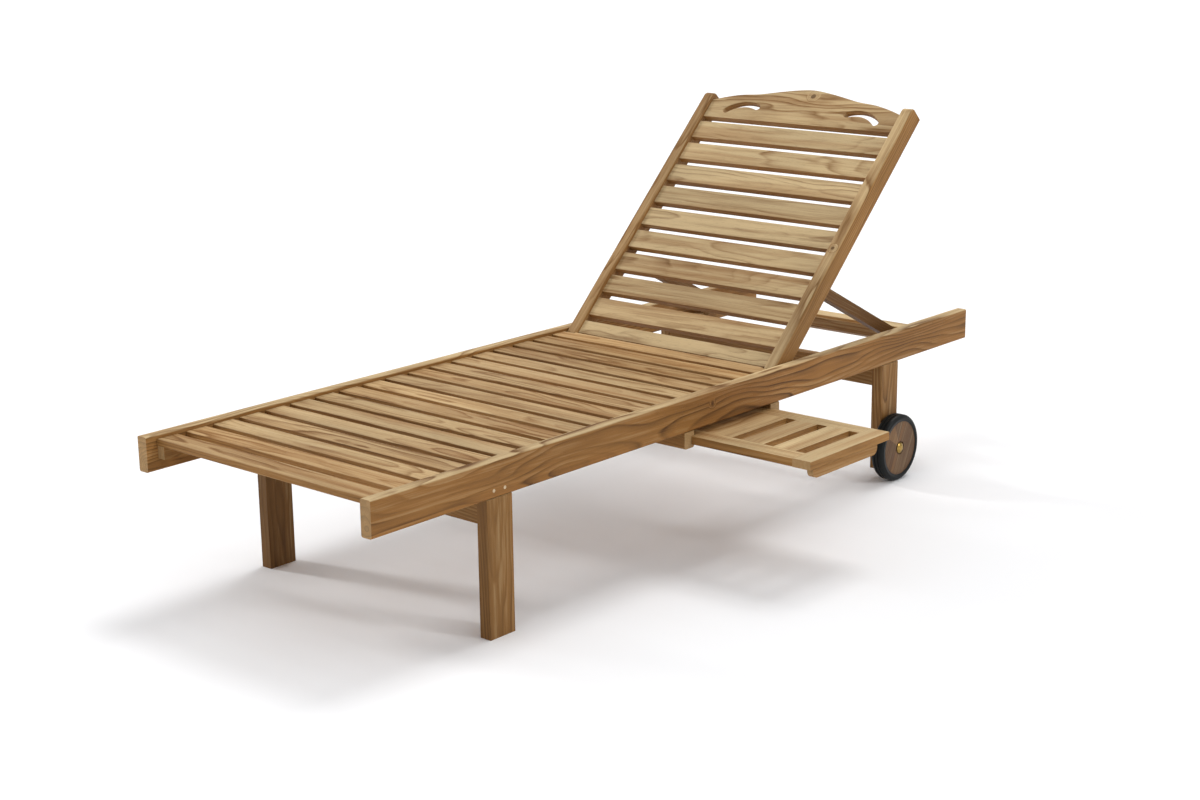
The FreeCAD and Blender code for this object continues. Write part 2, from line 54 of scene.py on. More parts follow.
bl_info = {
    "name": "Teak Sun Lounger",
    "version": (1, 0, 0),
    "blender": (4, 5, 0),
    "location": "3D View > Sidebar > Lounger",
    "description": "Teak, rubber and brass finishes for a reclining sun lounger",
    "category": "Object",
}

BACK_AXIS = next(joint for joint in frame["joints"] if joint["name"] == "back_recline")
BACK_PIVOT = Vector(BACK_AXIS["pos_m"])
BACK_ANGLE = -math.radians(BACK_AXIS["range_deg"][0])
WHEEL_AXIS = next(joint for joint in frame["joints"] if joint["name"] == "wheel_right_spin")
AXLE = Vector(WHEEL_AXIS["pos_m"])

PROP_LEAN = -0.47               # turn of the struts about X at rest, radians
STILE_OUT = 0.294               # distance of a stile's middle from the back's middle
SMOOTH_UNDER = math.radians(38.0)   # faces that meet at less than this shade as one

TYRE_STEPS = 112                # flats round the tyre
SHOULDER_STEPS = 7              # flats across a rounded shoulder
GROOVE_PLACE = 0.28             # each tread groove's distance from the middle, as a share of half the width
BEAD_INSET = 0.0022             # from the side's edge to the moulded ring
BEAD_SLOPE = 0.0012             # width of the ring's sloping edge
SAME_PLACE = 1e-5               # points nearer than this count as one place

STAVE_WIDTH = 0.043             # the glued boards of a hub
STAVE_SHIFT = 0.0145            # so that a whole stave holds the axle
STAVE_TURN = math.radians(24.0)
WEDGE_ANGLE = 2.25              # where the hub's pale wedge lies round the axle, radians
WEDGE_HALF = 0.30               # half the wedge's width, radians

FLOOR_HALF = 60.0
CAMERA_PLACE = (2.7583, -3.2944, 1.4402)
CAMERA_AZIMUTH = 41.237         # degrees
CAMERA_FALL = 14.904            # degrees below level
CAMERA_ROLL = -0.712            # degrees


# ---------------------------------------------------------------- settings
def colour(name, description, default):
    """A colour setting with its default in linear light."""
    return FloatVectorProperty(name=name, description=description, default=default,
                               subtype="COLOR", size=3, min=0.0, max=1.0)


def length(name, description, default):
    """A length setting in metres."""
    return FloatProperty(name=name, description=description, default=default, min=0.0,
                         subtype="DISTANCE", unit="LENGTH", precision=4)


class LOUNGER_PG_teak(bpy.types.PropertyGroup):
    """Colours and figure of the teak."""
    # pale paints top light: the upward faces are drawn towards it as painted light. The end grain is drawn a
    # little towards it as its own paler colour. gold is the wood's own colour where no painted top light is
    # drawn.
    pale: colour("Pale Wood", "Painted-light wood on the upper faces", (0.55, 0.405, 0.215))
    gold: colour("Golden Wood", "Plain wood outside the painted top light", (0.345, 0.172, 0.048))
    russet: colour("Russet Wood", "Redder boards and streaks", (0.28, 0.118, 0.026))
    brown: colour("Brown Line", "Late wood lines and knots", (0.080, 0.033, 0.007))
    peg: colour("Peg", "Pale wooden pegs", (0.62, 0.50, 0.34))
    ring: length("Ring Spacing", "Distance between growth rings", 0.0065)
    relief: length("Relief", "Height of the raised grain", 0.0006)


class LOUNGER_PG_wheel(bpy.types.PropertyGroup):
    """Sizes and colours of the wheels."""
    rubber: colour("Rubber", "Tyre rubber", (0.004, 0.005, 0.005))
    brass: colour("Brass", "Domed axle caps", (0.42, 0.27, 0.075))
    steel: colour("Steel", "Axle and hinge pins", (0.40, 0.40, 0.41))
    shoulder: length("Shoulder", "Rounding of the tyre's shoulders", 0.008)
    groove: length("Groove", "Depth of the grooves round the tread", 0.0014)
    groove_width: length("Groove Width", "Width of each tread groove", 0.0024)
    bead: length("Bead", "Height of the ring moulded on the tyre's side", 0.0008)


class LOUNGER_PG_stage(bpy.types.PropertyGroup):
    """Floor, light and camera."""
    floor: colour("Floor", "Plain pale floor", (0.92, 0.925, 0.94))
    lens: FloatProperty(name="Lens", description="Focal length of the camera in millimetres",
                        default=60.807, min=10.0, subtype="DISTANCE_CAMERA")
    sky: FloatProperty(name="Sky", description="Strength of the light from all round",
                       default=0.36, min=0.0)


# ---------------------------------------------------------------- node helpers
class Graph:
    """Short ways to add nodes to one tree."""

    def __init__(self, tree):
        self.tree = tree

    def node(self, kind, inputs=None, **settings):
        """Add a node, with its settings and its inputs' values or links."""
        made = self.tree.nodes.new(kind)
        for key, value in settings.items():
            setattr(made, key, value)
        for key, value in (inputs or {}).items():
            self.feed(made.inputs[key], value)
        return made

    def feed(self, socket, value):
        """Link an output to the socket, or set the socket's own value."""
        if isinstance(value, bpy.types.NodeSocket):
            self.tree.links.new(value, socket)
        else:
            socket.default_value = value

    def maths(self, operation, first, second=0.0, clamp=False):
        """One sum on numbers."""
        made = self.node("ShaderNodeMath", {0: first, 1: second}, operation=operation,
                         use_clamp=clamp)
        return made.outputs[0]

    def centred(self, value):
        """A noise value moved so that its middle is nought."""
        return self.maths("SUBTRACT", value, 0.5)

    def vector(self, operation, first, second=(0.0, 0.0, 0.0)):
        """One sum on vectors that gives a vector."""
        made = self.node("ShaderNodeVectorMath", {0: first, 1: second}, operation=operation)
        return made.outputs[0]

    def measure(self, operation, first, second=(0.0, 0.0, 0.0)):
        """One sum on vectors that gives a number."""
        made = self.node("ShaderNodeVectorMath", {0: first, 1: second}, operation=operation)
        return made.outputs["Value"]

    def noise(self, place, scale, detail=2.0, rough=0.5):
        """Noise stretched by a scale for each axis, in features a metre."""
        stretched = self.vector("MULTIPLY", place, scale)
        made = self.node("ShaderNodeTexNoise", {"Vector": stretched, "Scale": 1.0,
                                                "Detail": detail, "Roughness": rough})
        return made.outputs["Fac"]

    def remap(self, value, low, high, to_low=0.0, to_high=1.0, kind="LINEAR"):
        """Carry the range low..high over to to_low..to_high, and hold it there."""
        made = self.node("ShaderNodeMapRange", {"Value": value, "From Min": low, "From Max": high,
                                                "To Min": to_low, "To Max": to_high},
                         interpolation_type=kind)
        return made.outputs[0]

    def mix(self, factor, first, second):
        """Mix two colours."""
        made = self.node("ShaderNodeMix", data_type="RGBA")
        self.feed(made.inputs[0], factor)
        self.feed(made.inputs[6], first)
        self.feed(made.inputs[7], second)
        return made.outputs[2]

    def ramp(self, value, stops):
        """Grey ramp through (position, brightness) stops."""
        made = self.node("ShaderNodeValToRGB", {"Fac": value})
        elements = made.color_ramp.elements
        while len(elements) < len(stops):
            elements.new(0.5)
        for element, (position, grey) in zip(elements, stops):
            element.position = position
            element.color = (grey, grey, grey, 1.0)
        return made.outputs["Color"]


def new_material(name):
    """A material with an empty tree, its graph, shader and object coordinates."""
    material = bpy.data.materials.new(name)
    material.use_nodes = True
    graph = Graph(material.node_tree)
    material.node_tree.nodes.clear()
    shader = graph.node("ShaderNodeBsdfPrincipled")
    output = graph.node("ShaderNodeOutputMaterial")
    graph.feed(output.inputs["Surface"], shader.outputs[0])
    place = graph.node("ShaderNodeTexCoord").outputs["Object"]
    return material, graph, shader, place


def rgba(values):
    """A colour with full alpha."""
    return (*values, 1.0)


# ---------------------------------------------------------------- teak
TEAK_SOCKETS = (
    ("Place", "INPUT", "Vector"),
    ("Wood", "INPUT", "Color"),
    ("Painted Top Light", "INPUT", "Float"),
    ("End", "INPUT", "Float"),
    ("Swirl", "INPUT", "Float"),
    ("Ring", "INPUT", "Float"),
    ("Contrast", "INPUT", "Float"),
    ("Wave", "INPUT", "Float"),
    ("Colour", "OUTPUT", "Color"),
    ("Roughness", "OUTPUT", "Float"),
    ("Height", "OUTPUT", "Float"),
)


def grain_group():
    """Node group for sawn teak with painted top light: board lies along local X, rings turn round that axis.
    """
    known = bpy.data.node_groups.get("sawn teak")
    if known:
        return known
    teak = bpy.context.scene.lounger_teak
    tree = bpy.data.node_groups.new("sawn teak", "ShaderNodeTree")
    for name, way, kind in TEAK_SOCKETS:
        tree.interface.new_socket(name, in_out=way, socket_type="NodeSocket" + kind)
    graph = Graph(tree)
    given = graph.node("NodeGroupInput").outputs
    place = given["Place"]

    swell = graph.centred(graph.noise(place, (1.9, 9.0, 9.0), 2.0))
    ripple = graph.centred(graph.noise(place, (10.0, 60.0, 60.0), 2.0))
    across = graph.vector("MULTIPLY", place, (0.0, 1.0, 1.0))
    radius = graph.measure("LENGTH", across)
    radius = graph.maths("ADD", radius, graph.maths("MULTIPLY", swell, given["Wave"]))
    radius = graph.maths("ADD", radius, graph.maths("MULTIPLY", ripple, 0.004))
    radius = graph.maths("ADD", radius, graph.maths("MULTIPLY", given["Swirl"], 0.022))
    ring = graph.maths("FRACT", graph.maths("DIVIDE", radius, given["Ring"]))
    late = graph.ramp(ring, ((0.0, 0.05), (0.4, 0.1), (0.72, 0.5), (0.88, 1.0), (1.0, 0.05)))

    patch = graph.remap(graph.noise(place, (2.3, 14.0, 14.0), 2.0), 0.4, 0.6, 0.2, 1.0)
    line = graph.maths("MULTIPLY", graph.maths("MULTIPLY", late, patch), given["Contrast"])
    fibre = graph.centred(graph.noise(place, (8.0, 420.0, 420.0), 2.0, 0.6))
    streak = graph.centred(graph.noise(place, (2.2, 62.0, 62.0), 3.0, 0.62))
    band = graph.centred(graph.noise(place, (4.5, 170.0, 170.0), 2.0, 0.55))
    pore = graph.remap(graph.noise(place, (60.0, 1000.0, 1000.0), 1.0), 0.62, 0.7)

    dark = graph.maths("ADD", line, graph.maths("MULTIPLY", streak, 0.95))
    dark = graph.maths("ADD", dark, graph.maths("MULTIPLY", band, 0.45))
    dark = graph.maths("ADD", dark, graph.maths("MULTIPLY", fibre, 0.5))
    # Painted top light: the given share for the upward faces, less the dark grain, draws the wood towards
    # the pale colour.
    painted_light_share = graph.maths("SUBTRACT", given["Painted Top Light"], graph.maths("MULTIPLY", dark, 0.9), clamp=True)
    wood = graph.mix(painted_light_share, given["Wood"], rgba(teak.pale))
    cloud = graph.remap(graph.noise(place, (1.5, 8.0, 8.0), 2.0), 0.3, 0.7, 0.82, 1.14)
    wood = graph.vector("SCALE", wood)
    graph.feed(wood.node.inputs["Scale"], cloud)
    warm = graph.remap(graph.noise(place, (1.1, 30.0, 30.0), 2.0), 0.52, 0.68, 0.0, 0.45)
    wood = graph.mix(warm, wood, rgba(teak.russet))
    # Painted top light also washes out the dark grain on the upper faces.
    depth = graph.maths("MULTIPLY", dark, graph.remap(given["Painted Top Light"], 0.0, 1.0, 0.95, 0.62), clamp=True)
    tone = graph.mix(depth, wood, rgba(teak.brown))
    tone = graph.mix(graph.maths("MULTIPLY", pore, 0.2), tone, rgba(teak.brown))
    tone = graph.mix(graph.maths("MULTIPLY", given["End"], 0.3), tone, rgba(teak.pale))
    knot = graph.remap(given["Swirl"], 0.72, 0.95)
    tone = graph.mix(graph.maths("MULTIPLY", knot, 0.8), tone, rgba(teak.brown))

    rough = graph.maths("ADD", graph.maths("MULTIPLY", fibre, 0.25), 0.6)
    height = graph.maths("SUBTRACT", graph.maths("MULTIPLY", fibre, 1.3), graph.maths("MULTIPLY", pore, 0.5))
    height = graph.maths("ADD", height, graph.maths("MULTIPLY", late, 0.35))
    graph.node("NodeGroupOutput", {"Colour": tone, "Roughness": rough, "Height": height})
    return tree


LIES = {"across": Euler((0.0, 0.0, 0.0)), "along": Euler((0.0, 0.0, -math.pi / 2)),
        "upright": Euler((0.0, math.pi / 2, 0.0))}


def teak_board(name, centre, lies="across", wood=(0.5, 0.3, 0.12), sunned=0.6, contrast=0.6,
               wave=0.05, ring=1.0, depth=0.05, seed=0, lean=0.0, knots=(), fade=None):
    """Teak for one board: its own cut through the rings, its own tone.

    lean is the board's turn about X at rest, depth the distance from the board
    to the heart of the tree, and each knot a place with a radius.  The upward
    faces are drawn paler by the given share as painted top light.  fade gives the
    two x places between which the wood turns from painted shade to painted top light.
    """
    teak = bpy.context.scene.lounger_teak
    draw = random.Random(seed)
    material, graph, shader, place = new_material(name)
    turn = LIES[lies].to_matrix() @ Matrix.Rotation(-lean, 3, "X")
    tilt = Euler((0.0, math.radians(draw.uniform(-1.6, 1.6)), math.radians(draw.uniform(-1.2, 1.2))))
    cut = Vector((draw.uniform(0.0, 40.0), draw.uniform(-0.02, 0.02), depth * draw.uniform(0.7, 1.4)))
    flat = graph.node("ShaderNodeMapping", {"Vector": place, "Rotation": turn.to_euler(),
                                            "Location": -(turn @ Vector(centre))})
    placed = graph.node("ShaderNodeMapping", {"Vector": flat.outputs[0], "Rotation": tilt,
                                              "Location": cut})
    normal = graph.node("ShaderNodeTexCoord").outputs["Normal"]
    up = turn.inverted() @ Vector((0.0, 0.0, 1.0)) if lies != "upright" else Vector((0.0, 0.0, 1.0))
    axis = turn.inverted() @ Vector((1.0, 0.0, 0.0))
    facing = graph.measure("DOT_PRODUCT", normal, up)
    ending = graph.measure("DOT_PRODUCT", normal, axis)
    end = graph.remap(graph.maths("ABSOLUTE", ending), 0.6, 0.9)
    swirl = 0.0
    for spot, size in knots:
        away = graph.measure("DISTANCE", place, Vector(spot))
        near = graph.remap(away, size * 3.2, 0.0, 0.0, 1.0, "SMOOTHERSTEP")
        swirl = graph.maths("MAXIMUM", swirl, near)
    # Painted top light on the upward faces, up to the given share.
    lit = graph.remap(facing, 0.2, 0.85, 0.05, sunned)
    # Painted shade: below the first fade place the painted top light is cut to 0.12 of itself.
    if fade:
        out = graph.node("ShaderNodeSeparateXYZ", {0: place}).outputs[0]
        shaded = graph.remap(out, fade[0], fade[1], 0.12, 1.0, "SMOOTHSTEP")
        lit = graph.maths("MULTIPLY", lit, shaded)
    grain = graph.node("ShaderNodeGroup", node_tree=grain_group())
    for key, value in (("Place", placed.outputs[0]), ("Wood", rgba(wood)), ("Swirl", swirl),
                       ("End", end), ("Painted Top Light", lit), ("Ring", teak.ring * ring),
                       ("Contrast", contrast), ("Wave", wave)):
        graph.feed(grain.inputs[key], value)
    bump = graph.node("ShaderNodeBump", {"Height": grain.outputs["Height"], "Distance": teak.relief,
                                         "Strength": 0.7})
    graph.feed(shader.inputs["Base Color"], grain.outputs["Colour"])
    graph.feed(shader.inputs["Roughness"], grain.outputs["Roughness"])
    graph.feed(shader.inputs["Normal"], bump.outputs[0])
    shader.inputs["Specular IOR Level"].default_value = 0.2
    return material


def blend_colours(first, second, share):
    """The colour a share of the way from the first to the second."""
    return tuple(a + (b - a) * share for a, b in zip(first, second))


def tone_of(redness, light):
    """Wood colour between golden and russet, at a brightness."""
    teak = bpy.context.scene.lounger_teak
    mixed = blend_colours(teak.gold, teak.russet, redness)
    return tuple(min(1.0, channel * light) for channel in mixed)


def wear(obj, material):
    """Give an object one material all over."""
    obj.data.materials.clear()
    obj.data.materials.append(material)


def finish_board(node, red=0.3, light=1.0, seed=0, **look):
    """Put a board's own teak on a node."""
    low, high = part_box(node)
    centre = (Vector(low) + Vector(high)) / 2
    material = teak_board("teak " + node.replace("_", " "), centre, wood=tone_of(red, light),
                          seed=seed, **look)
    wear(frame["nodes"][node], material)


# ---------------------------------------------------------------- operators
class Finish(bpy.types.Operator):
    """Shared settings of the finishing operators."""
    bl_options = {"REGISTER", "UNDO"}


class LOUNGER_OT_rails(Finish):
    """Finish the side rails, legs, cross rails and hidden bearers"""
    bl_idname = "lounger.rails"
    bl_label = "Rails and Legs"

    def execute(self, context):
        # Each board below is given its own share of painted top light on its upward faces.
        finish_board("side_rail_right", 0.6, 0.92, 3, lies="along", sunned=0.95, contrast=1.15,
                     wave=0.13, ring=2.1, depth=0.030, knots=(((0.205, -0.02, 0.325), 0.005),))
        finish_board("side_rail_left", 0.3, 0.95, 14, lies="along", sunned=0.95, contrast=0.8,
                     wave=0.08)
        # The legs' lower light values paint the shade of the seat above them, darkest on the front left leg.
        legs = (("front_leg_right", 0.72), ("front_leg_left", 0.5),
                ("rear_leg_right", 0.66), ("rear_leg_left", 0.6))
        for index, (node, light) in enumerate(legs):
            finish_board(node, 0.3, light, 20 + index, lies="upright", contrast=0.9, wave=0.05,
                         ring=1.3)
        for index, node in enumerate(("front_cross_rail", "rear_cross_rail", "tray_guide_front",
                                      "tray_guide_rear")):
            finish_board(node, 0.2, 0.75, 30 + index, sunned=0.3)
        # The head slat gets full painted top light, a painted highlight on its top.
        finish_board("head_slat", 0.1, 1.0, 36, sunned=1.0)
        for index, node in enumerate(("seat_ledgers", "ratchet_rails")):
            finish_board(node, 0.2, 0.8, 40 + index, lies="along", sunned=0.4)
        return {"FINISHED"}


class LOUNGER_OT_seat(Finish):
    """Finish the seat slats, each a different board"""
    bl_idname = "lounger.seat"
    bl_label = "Seat Slats"

    def execute(self, context):
        draw = random.Random(7)
        slats = sorted(n for n in frame["nodes"] if n.startswith("seat_slat"))
        for number, node in enumerate(slats):
            rearward = number / (len(slats) - 1)
            # Slats nearer the back get less painted top light: a painted shadow of the raised back.
            finish_board(node, draw.uniform(0.0, 0.6), draw.uniform(0.85, 1.1),
                         draw.randrange(1000),
                         sunned=draw.uniform(0.45, 0.85) - 0.25 * rearward ** 3,
                         contrast=draw.uniform(0.4, 0.8), wave=draw.uniform(0.03, 0.08))
        return {"FINISHED"}


class LOUNGER_OT_back(Finish):
    """Finish the back's stiles, slats and crown"""
    bl_idname = "lounger.back"
    bl_label = "Back"

    def execute(self, context):
        draw = random.Random(11)
        # Each back board below is given its own share of painted top light on its upward faces.
        for node in sorted(n for n in frame["nodes"] if n.startswith("back_slat")):
            finish_board(node, draw.uniform(0.0, 0.6), draw.uniform(0.85, 1.1),
                         draw.randrange(1000), lean=BACK_ANGLE, sunned=draw.uniform(0.65, 1.15),
                         contrast=draw.uniform(0.4, 0.8), wave=draw.uniform(0.03, 0.08))
        knot = BACK_PIVOT + along_back(0.768, 0.016)
        finish_board("back_crown", 0.1, 1.0, 52, lean=BACK_ANGLE, sunned=0.8, contrast=0.7,
                     wave=0.08, depth=0.08, knots=(((knot.x + 0.012, knot.y, knot.z), 0.007),))
        knot = BACK_PIVOT + along_back(0.335, 0.024)
        finish_board("back_stile_right", 0.15, 0.95, 61, lies="along", lean=BACK_ANGLE,
                     sunned=0.75, contrast=0.85, wave=0.06,
                     knots=(((knot.x + STILE_OUT, knot.y, knot.z), 0.005),))
        finish_board("back_stile_left", 0.25, 0.8, 62, lies="along", lean=BACK_ANGLE,
                     sunned=0.3)
        return {"FINISHED"}


def along_back(up, out):
    """Offset from the hinge to a point up the raised back and out from its middle."""
    return Vector((0.0, up * math.cos(BACK_ANGLE) - out * math.sin(BACK_ANGLE),
                   up * math.sin(BACK_ANGLE) + out * math.cos(BACK_ANGLE)))


class LOUNGER_OT_prop(Finish):
    """Finish the prop that holds the back up"""
    bl_idname = "lounger.prop"
    bl_label = "Prop"

    def execute(self, context):
        # Each prop board below is given its own share of painted top light on its upward faces.
        for index, side in enumerate(("right", "left")):
            finish_board("prop_strut_" + side, 0.7, 0.55, 70 + index, lies="along",
                         lean=PROP_LEAN, sunned=0.1)
        finish_board("prop_crossbar", 0.2, 0.65, 72, sunned=0.3)
        finish_board("prop_rod", 0.0, 1.2, 73, sunned=0.8)
        return {"FINISHED"}


class LOUNGER_OT_tray(Finish):
    """Finish the slide-out tray"""
    bl_idname = "lounger.tray"
    bl_label = "Tray"

    def execute(self, context):
        # Towards the rail the tray's painted top light fades into painted shade, where the tray runs under
        # the rail.
        finish_board("tray_sides", 0.1, 1.0, 80, sunned=1.05, contrast=0.7, fade=(0.14, 0.34))
        finish_board("tray_slats", 0.1, 1.0, 81, lies="along", sunned=1.15, contrast=0.5,
                     fade=(0.16, 0.34))
        finish_board("tray_lip", 0.3, 0.95, 82, lies="along", sunned=0.5)
        return {"FINISHED"}


# ---------------------------------------------------------------- wheels
def tyre_piece(side):
    """Rubber tyre: a plain ring turned round the axle, then shouldered and grooved."""
    wheel = bpy.context.scene.lounger_wheel
    low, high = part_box("tyre_" + side)
    outer = (high[2] - low[2]) / 2
    hub_low, hub_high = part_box("wheel_hub_" + side)
    inner = (hub_high[2] - hub_low[2]) / 2
    centre = Vector((0.0, AXLE.y, AXLE.z))
    middle = (low[0] + high[0]) / 2
    half = (high[0] - low[0]) / 2
    form = bmesh.new()
    groove = half * GROOVE_PLACE
    lips = [way + wheel.groove_width / 2 * side_of for way in (-groove, groove)
            for side_of in (-1.0, 1.0)]
    section = [(-half, inner), (-half, outer)]
    section += [(lip, outer) for lip in lips]
    section += [(half, outer), (half, inner)]
    points = [form.verts.new((middle + x, centre.y, centre.z + radius)) for x, radius in section]
    edges = [form.edges.new(pair) for pair in zip(points, points[1:] + points[:1])]
    bmesh.ops.spin(form, geom=points + edges, cent=centre, axis=(1.0, 0.0, 0.0),
                   angle=2 * math.pi, steps=TYRE_STEPS, use_merge=True)
    bmesh.ops.remove_doubles(form, verts=form.verts, dist=1e-6)
    shoulders = [e for e in form.edges
                 if is_rim(e, centre, outer) and is_outermost(e, middle, half)]
    bmesh.ops.bevel(form, geom=shoulders, offset=wheel.shoulder, segments=SHOULDER_STEPS,
                    profile=0.5, affect="EDGES", material=-1)
    bottoms = [f for f in form.faces
               if is_groove(f, centre, outer, middle, groove, wheel.groove_width)]
    made = bmesh.ops.extrude_face_region(form, geom=bottoms)
    sunk = [v for v in made["geom"] if isinstance(v, bmesh.types.BMVert)]
    bmesh.ops.delete(form, geom=bottoms, context="FACES")
    for vert in sunk:
        outwards = Vector((0.0, vert.co.y - centre.y, vert.co.z - centre.z)).normalized()
        vert.co -= outwards * wheel.groove
    sides = [f for f in form.faces if abs(f.normal.x) > 0.9 and f.calc_area() > 1e-6]
    for way in (1.0, -1.0):
        group = [f for f in sides if f.normal.x * way > 0.9]
        bmesh.ops.inset_region(form, faces=group, thickness=BEAD_INSET, depth=0.0)
        bmesh.ops.inset_region(form, faces=group, thickness=BEAD_SLOPE, depth=-wheel.bead)
    bmesh.ops.recalc_face_normals(form, faces=form.faces)
    return finished_piece("tyre_piece_" + side, form)


def is_rim(edge, centre, radius):
    """True for an edge that runs round the axle at a radius."""
    spans = [math.hypot(v.co.y - centre.y, v.co.z - centre.z) for v in edge.verts]
    return all(abs(span - radius) < SAME_PLACE for span in spans)


def is_outermost(edge, middle, half):
    """True for an edge on one of the tyre's two sides."""
    return all(abs(abs(v.co.x - middle) - half) < SAME_PLACE for v in edge.verts)


def is_groove(face, centre, outer, middle, groove, width):
    """True for the strips of the tread between a groove's two edges."""
    place = face.calc_center_median()
    span = math.hypot(place.y - centre.y, place.z - centre.z)
    off = abs(abs(place.x - middle) - groove)
    return abs(span - outer) < 2e-4 and off < width * 0.3 and abs(face.normal.x) < 0.1


def finished_piece(name, form):
    """Turn a bmesh into a smooth-sided object at the origin."""
    mesh = bpy.data.meshes.new(name)
    form.to_mesh(mesh)
    form.free()
    mesh.shade_smooth()
    mesh.set_sharp_from_angle(angle=SMOOTH_UNDER)
    made = bpy.data.objects.new(name, mesh)
    bpy.context.scene.collection.objects.link(made)
    return made


class LOUNGER_OT_wheels(Finish):
    """Model the tyres and finish hubs, caps, axle, pins and pegs"""
    bl_idname = "lounger.wheels"
    bl_label = "Wheels and Fittings"

    def execute(self, context):
        wheel = context.scene.lounger_wheel
        rubber = rubber_material(wheel.rubber)
        hub = hub_material()
        for side in ("right", "left"):
            tyre = tyre_piece(side)
            wear(tyre, rubber)
            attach(tyre, "wheel_" + side)
            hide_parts("tyre_" + side)
            wear(frame["nodes"]["wheel_hub_" + side], hub)
        wear(frame["nodes"]["axle_caps"], metal_material("domed brass", wheel.brass, 0.24))
        steel = metal_material("drawn steel", wheel.steel, 0.35)
        wear(frame["nodes"]["axle"], steel)
        wear(frame["nodes"]["hinge_pins"], steel)
        pegs = teak_board("pale peg", (0.0, -0.67, 0.296), wood=context.scene.lounger_teak.peg,
                          sunned=0.0, contrast=0.2, seed=95)
        wear(frame["nodes"]["leg_pegs"], pegs)
        return {"FINISHED"}


def hub_material():
    """Glued staves of russet teak, one wedge paler, with painted shade in a ring round the cap and at the
    rim, and dark joints between the staves.
    """
    teak = bpy.context.scene.lounger_teak
    material, graph, shader, place = new_material("glued hub")
    centred = graph.vector("SUBTRACT", place, (0.0, AXLE.y, AXLE.z))
    turned = graph.node("ShaderNodeMapping", {"Vector": centred,
                                              "Rotation": (STAVE_TURN, 0.0, 0.0)})
    axes = graph.node("ShaderNodeSeparateXYZ", {0: turned.outputs[0]}).outputs
    count = graph.maths("DIVIDE", graph.maths("ADD", axes[1], STAVE_SHIFT), STAVE_WIDTH)
    stave = graph.maths("FLOOR", count)
    tone = graph.node("ShaderNodeTexWhiteNoise", {"W": stave}, noise_dimensions="1D")
    tone = tone.outputs["Value"]
    middle = graph.maths("ABSOLUTE", graph.maths("SUBTRACT", graph.maths("FRACT", count), 0.5))
    inside = graph.maths("LESS_THAN", middle, 0.485)
    shifted = graph.node("ShaderNodeCombineXYZ", {0: axes[2], 1: axes[1],
                                                  2: graph.maths("MULTIPLY", stave, 0.13)})
    grain = graph.node("ShaderNodeGroup", node_tree=grain_group())
    wood = graph.mix(graph.remap(tone, 0.0, 1.0, 0.0, 0.7), rgba(tone_of(1.0, 0.36)),
                     rgba(tone_of(0.6, 0.46)))
    plain = graph.node("ShaderNodeSeparateXYZ", {0: centred}).outputs
    angle = graph.maths("ARCTAN2", plain[2], plain[1])
    aside = graph.maths("ABSOLUTE", graph.maths("SUBTRACT", angle, WEDGE_ANGLE))
    wedge = graph.maths("LESS_THAN", aside, WEDGE_HALF)
    wood = graph.mix(graph.maths("MULTIPLY", wedge, 0.6), wood, rgba(tone_of(0.2, 0.8)))
    for key, value in (("Place", shifted.outputs[0]), ("Wood", wood), ("Painted Top Light", 0.05), ("End", 0.0),
                       ("Swirl", 0.0), ("Ring", teak.ring), ("Contrast", 0.6), ("Wave", 0.03)):
        graph.feed(grain.inputs[key], value)
    spread = graph.measure("LENGTH", graph.vector("MULTIPLY", centred, (0.0, 1.0, 1.0)))
    # Painted shade in a ring round the cap, and towards the rim by the tyre.
    painted_cap_shade = graph.remap(spread, 0.0135, 0.0185, 0.75, 0.0)
    rim = graph.remap(spread, 0.058, 0.0645, 0.0, 0.45)
    painted_shade_and_joints = graph.maths("MAXIMUM", painted_cap_shade, rim)
    # The dark joints between the staves are the wood's own.
    seam = graph.maths("MULTIPLY", graph.maths("SUBTRACT", 1.0, inside), 0.8)
    painted_shade_and_joints = graph.maths("MAXIMUM", painted_shade_and_joints, seam)
    graph.feed(shader.inputs["Base Color"],
               graph.mix(painted_shade_and_joints, grain.outputs["Colour"], rgba(teak.brown)))
    graph.feed(shader.inputs["Roughness"], grain.outputs["Roughness"])
    bump = graph.node("ShaderNodeBump", {"Height": grain.outputs["Height"], "Distance": teak.relief,
                                         "Strength": 0.7})
    graph.feed(shader.inputs["Normal"], bump.outputs[0])
    return material


def rubber_material(tint):
    """Dark rubber with a little dust."""
    material, graph, shader, place = new_material("tyre rubber")
    dust = graph.remap(graph.noise(place, (14.0, 14.0, 14.0), 4.0), 0.4, 0.75)
    dusty = [channel * 2.2 for channel in tint]
    graph.feed(shader.inputs["Base Color"], graph.mix(dust, rgba(tint), rgba(dusty)))
    graph.feed(shader.inputs["Roughness"], graph.remap(dust, 0.0, 1.0, 0.38, 0.55))
    fine = graph.noise(place, (900.0, 900.0, 900.0))
    bump = graph.node("ShaderNodeBump", {"Height": fine, "Distance": 0.0002, "Strength": 0.4})
    graph.feed(shader.inputs["Normal"], bump.outputs[0])
    shader.inputs["Specular IOR Level"].default_value = 0.18
    return material


def metal_material(name, tint, roughness):
    """Plain metal, a little duller where it is worn."""
    material, graph, shader, place = new_material(name)
    shader.inputs["Metallic"].default_value = 1.0
    wear_mark = graph.noise(place, (160.0, 160.0, 160.0), 3.0)
    worn = graph.remap(wear_mark, 0.35, 0.7)
    dull = [channel * 0.72 for channel in tint]
    graph.feed(shader.inputs["Base Color"], graph.mix(worn, rgba(tint), rgba(dull)))
    graph.feed(shader.inputs["Roughness"],
               graph.remap(wear_mark, 0.3, 0.7, roughness, roughness + 0.15))
    return material


